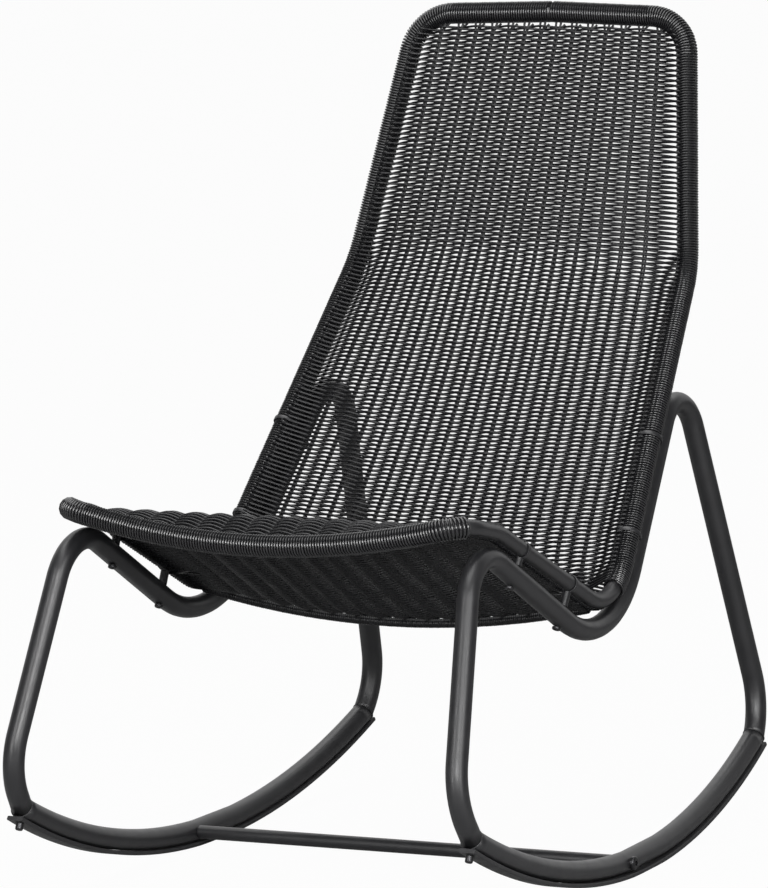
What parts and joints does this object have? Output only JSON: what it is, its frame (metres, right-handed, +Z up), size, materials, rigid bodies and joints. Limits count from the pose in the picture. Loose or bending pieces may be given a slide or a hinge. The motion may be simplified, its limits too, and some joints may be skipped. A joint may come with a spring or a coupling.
{
  "type": "rocking chair",
  "caption": "Low-slung rocking chair: a black woven wicker shell clamped on splayed bent-tube side frames with curved rockers and a cross stretcher.",
  "frame": {"origin": "on the floor, under the middle of the chair's width and depth", "axes": "+Z up, the sitter faces -Y, +X is to the right when one looks along +Y at the front of the chair"},
  "size_m": [0.6004, 0.8804, 0.9509],
  "materials": {
    "black_powder_coat": "satin black powder coat on steel",
    "black_wicker": "semi-gloss black plastic wicker strand",
    "black_sole": "matt black plastic strip",
    "black_bolt": "blackened steel",
    "bare_steel": "bare zinc-plated steel"
  },
  "bodies": {
    "root": {"back_weave": "black_wicker", "front_edge_wrap": "black_wicker", "left_back_clamp_1": "black_powder_coat", "left_back_clamp_2": "black_powder_coat", "left_back_clamp_bolt_1": "black_bolt", "left_back_clamp_bolt_2": "black_bolt", "left_back_edge_wrap": "black_wicker", "left_front_sole_screw": "bare_steel", "left_rear_sole_screw": "bare_steel", "left_rocker": "black_powder_coat", "left_rocker_sole": "black_sole", "left_seat_clamp_1": "black_powder_coat", "left_seat_clamp_2": "black_powder_coat", "left_seat_clamp_bolt_1": "black_bolt", "left_seat_clamp_bolt_2": "black_bolt", "left_side_frame": "black_powder_coat", "left_stretcher_bolt": "black_bolt", "left_stretcher_insert": "bare_steel", "rib_01": "black_powder_coat", "rib_02": "black_powder_coat", "rib_03": "black_powder_coat", "rib_04": "black_powder_coat", "rib_05": "black_powder_coat", "rib_06": "black_powder_coat", "rib_07": "black_powder_coat", "rib_08": "black_powder_coat", "rib_09": "black_powder_coat", "rib_10": "black_powder_coat", "rib_11": "black_powder_coat", "rib_12": "black_powder_coat", "rib_13": "black_powder_coat", "rib_14": "black_powder_coat", "right_back_clamp_1": "black_powder_coat", "right_back_clamp_2": "black_powder_coat", "right_back_clamp_bolt_1": "black_bolt", "right_back_clamp_bolt_2": "black_bolt", "right_back_edge_wrap": "black_wicker", "right_front_sole_screw": "bare_steel", "right_rear_sole_screw": "bare_steel", "right_rocker": "black_powder_coat", "right_rocker_sole": "black_sole", "right_seat_clamp_1": "black_powder_coat", "right_seat_clamp_2": "black_powder_coat", "right_seat_clamp_bolt_1": "black_bolt", "right_seat_clamp_bolt_2": "black_bolt", "right_side_frame": "black_powder_coat", "right_stretcher_bolt": "black_bolt", "right_stretcher_insert": "bare_steel", "rocker_stretcher": "black_powder_coat", "seat_back_cross_rod": "black_wicker", "seat_weave": "black_wicker", "shell_tube": "black_powder_coat"}
  },
  "joints": []
}
